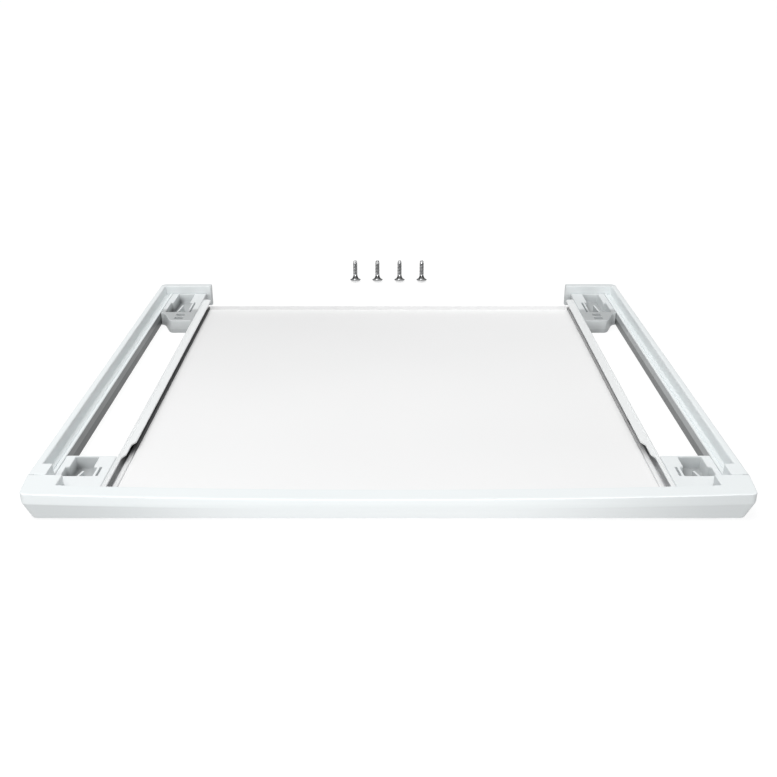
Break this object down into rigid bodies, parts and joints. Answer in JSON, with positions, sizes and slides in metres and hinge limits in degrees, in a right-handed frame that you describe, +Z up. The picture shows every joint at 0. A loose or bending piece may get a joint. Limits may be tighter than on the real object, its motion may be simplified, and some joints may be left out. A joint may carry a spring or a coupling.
{
  "type": "washer dryer stacking kit",
  "caption": "Low frame that joins a dryer on top to a washer below, with moulded side rails, corner foot pockets, a pull-out steel shelf on rollers and a bowed front bar",
  "frame": {"origin": "centre of the bounding box's foot, on the surface that the frame lies on", "axes": "+X to the right along the front bar, +Y from the front bar to the back, +Z up"},
  "size_m": [0.598, 0.6672, 0.0315],
  "materials": {
    "white_plastic": "satin",
    "coated_steel": "satin",
    "dark_steel": "satin",
    "zinc_steel": "zinc plated",
    "white_nylon": "satin",
    "grey_rubber": "matte"
  },
  "bodies": {
    "root": {"left_side_rail": "white_plastic", "left_front_foot_pocket": "white_plastic", "left_rear_foot_pocket": "white_plastic", "left_front_grip_pad": "grey_rubber", "left_rear_grip_pad": "grey_rubber", "left_guide_rail": "coated_steel", "left_slide_stop": "grey_rubber", "left_front_roller_axle": "zinc_steel", "left_front_guide_screw": "zinc_steel", "left_front_pocket_screw": "zinc_steel", "left_front_rail_screw": "zinc_steel", "left_rear_guide_screw": "zinc_steel", "left_rear_pocket_screw": "zinc_steel", "left_rear_rail_screw": "zinc_steel", "right_side_rail": "white_plastic", "right_front_foot_pocket": "white_plastic", "right_rear_foot_pocket": "white_plastic", "right_front_grip_pad": "grey_rubber", "right_rear_grip_pad": "grey_rubber", "right_guide_rail": "coated_steel", "right_slide_stop": "grey_rubber", "right_front_roller_axle": "zinc_steel", "right_front_guide_screw": "zinc_steel", "right_front_pocket_screw": "zinc_steel", "right_front_rail_screw": "zinc_steel", "right_rear_guide_screw": "zinc_steel", "right_rear_pocket_screw": "zinc_steel", "right_rear_rail_screw": "zinc_steel", "front_cross_tie": "zinc_steel", "rear_cross_tie": "zinc_steel", "loose_screw_1": "zinc_steel", "loose_screw_2": "zinc_steel", "loose_screw_3": "zinc_steel", "loose_screw_4": "zinc_steel"},
    "drawer": {"front_bar": "white_plastic", "shelf_panel": "coated_steel", "shelf_screw_1": "zinc_steel", "shelf_screw_2": "zinc_steel", "shelf_screw_3": "zinc_steel", "shelf_screw_4": "zinc_steel", "left_shelf_runner": "dark_steel", "left_runner_rivet_1": "zinc_steel", "left_runner_rivet_2": "zinc_steel", "left_runner_rivet_3": "zinc_steel", "left_rear_roller_axle": "zinc_steel", "right_shelf_runner": "dark_steel", "right_runner_rivet_1": "zinc_steel", "right_runner_rivet_2": "zinc_steel", "right_runner_rivet_3": "zinc_steel", "right_rear_roller_axle": "zinc_steel"},
    "left_front_roller": {"left_front_roller": "white_nylon"},
    "left_rear_roller": {"left_rear_roller": "white_nylon"},
    "right_front_roller": {"right_front_roller": "white_nylon"},
    "right_rear_roller": {"right_rear_roller": "white_nylon"}
  },
  "joints": [
    {"name": "shelf_slide", "type": "slide", "parent": "root", "child": "drawer", "axis": [0, -1, 0], "range_m": [0, 0.33]},
    {"name": "left_front_roller_turn", "type": "hinge", "parent": "root", "child": "left_front_roller", "pos_m": [-0.2343, -0.29765, 0.00455], "axis": [1, 0, 0], "continuous": true},
    {"name": "left_rear_roller_turn", "type": "hinge", "parent": "drawer", "child": "left_rear_roller", "pos_m": [-0.2336, 0.18235, 0.0086], "axis": [1, 0, 0], "continuous": true},
    {"name": "right_front_roller_turn", "type": "hinge", "parent": "root", "child": "right_front_roller", "pos_m": [0.2343, -0.29765, 0.00455], "axis": [1, 0, 0], "continuous": true},
    {"name": "right_rear_roller_turn", "type": "hinge", "parent": "drawer", "child": "right_rear_roller", "pos_m": [0.2336, 0.18235, 0.0086], "axis": [1, 0, 0], "continuous": true}
  ],
  "couplings": [
    {"joint": "left_front_roller_turn", "follows": "shelf_slide", "rad_per_m": 253.16},
    {"joint": "left_rear_roller_turn", "follows": "shelf_slide", "rad_per_m": 222.22},
    {"joint": "right_front_roller_turn", "follows": "shelf_slide", "rad_per_m": 253.16},
    {"joint": "right_rear_roller_turn", "follows": "shelf_slide", "rad_per_m": 222.22}
  ]
}
